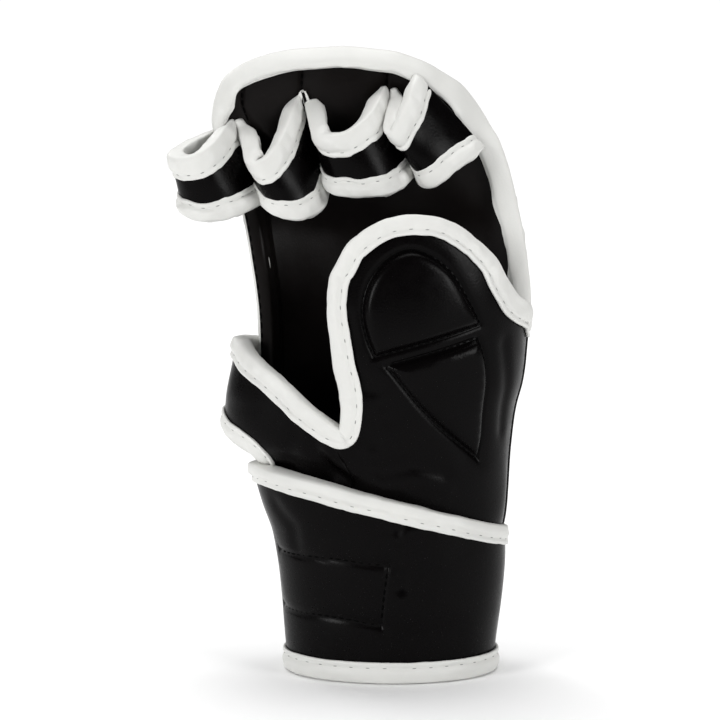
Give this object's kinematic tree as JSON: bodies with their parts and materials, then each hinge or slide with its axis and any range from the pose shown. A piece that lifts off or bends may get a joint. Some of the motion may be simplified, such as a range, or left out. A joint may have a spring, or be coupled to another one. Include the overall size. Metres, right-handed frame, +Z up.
{
  "type": "mma glove",
  "caption": "Open-palm sparring glove for the right hand, with padded knuckles and thumb, finger loops, and a long wrist cuff closed by a hook-and-loop strap.",
  "frame": {"origin": "middle of the glove's box in plan, on the plane the cuff's rim stands on", "axes": "+Z up towards the fingertips, -Y out of the palm, +X towards the thumb side"},
  "size_m": [0.1566, 0.0874, 0.267],
  "materials": {
    "black_leather": "satin",
    "white_binding": "satin",
    "foam": "matte",
    "lining": "matte",
    "hook_and_loop": "matte"
  },
  "bodies": {
    "hand": {"back_cover": "black_leather", "palm_cover": "black_leather", "cuff_cover": "black_leather", "strap_anchor": "black_leather", "back_left_binding": "white_binding", "back_right_binding": "white_binding", "thumb_web_binding": "white_binding", "notch_binding": "white_binding", "band_top_binding": "white_binding", "band_low_binding": "white_binding", "cuff_top_binding": "white_binding", "cuff_bottom_binding": "white_binding", "back_foam": "foam", "heel_pad_foam": "foam", "cuff_foam": "foam", "back_lining": "lining", "palm_lining": "lining", "cuff_lining": "lining", "strap_loop_patch": "hook_and_loop", "wrist_anchor_patch": "hook_and_loop"},
    "finger_section": {"knuckle_cover": "black_leather", "knuckle_foam": "foam", "knuckle_lining": "lining", "knuckle_binding": "white_binding", "finger_loop_1": "black_leather", "finger_loop_2": "black_leather", "finger_loop_3": "black_leather", "finger_loop_4": "black_leather", "loop_1_upper_binding": "white_binding", "loop_1_lower_binding": "white_binding", "loop_2_upper_binding": "white_binding", "loop_2_lower_binding": "white_binding", "loop_3_upper_binding": "white_binding", "loop_3_lower_binding": "white_binding", "loop_4_upper_binding": "white_binding", "loop_4_lower_binding": "white_binding"},
    "thumb_flap": {"thumb_cover": "black_leather", "thumb_lining": "lining", "thumb_pad_foam": "foam", "thumb_binding": "white_binding"},
    "closure_strap": {"strap": "black_leather", "strap_hook_patch": "hook_and_loop"}
  },
  "joints": [
    {"name": "finger_flex", "type": "hinge", "parent": "hand", "child": "finger_section", "pos_m": [0.01653, 0.00343, 0.188], "axis": [1, 0, 0], "range_deg": [0, 20], "stiffness_Nm_per_rad": 0.8},
    {"name": "thumb_open", "type": "hinge", "parent": "hand", "child": "thumb_flap", "pos_m": [0.02713, -0.04447, 0.1446], "axis": [0.9637, 0, 0.2669], "range_deg": [0, 20], "stiffness_Nm_per_rad": 0.4},
    {"name": "strap_peel", "type": "hinge", "parent": "hand", "child": "closure_strap", "pos_m": [-0.02267, 0.02793, 0.0333], "axis": [-0.0826, 0.0406, 0.9958], "range_deg": [0, 110]}
  ]
}
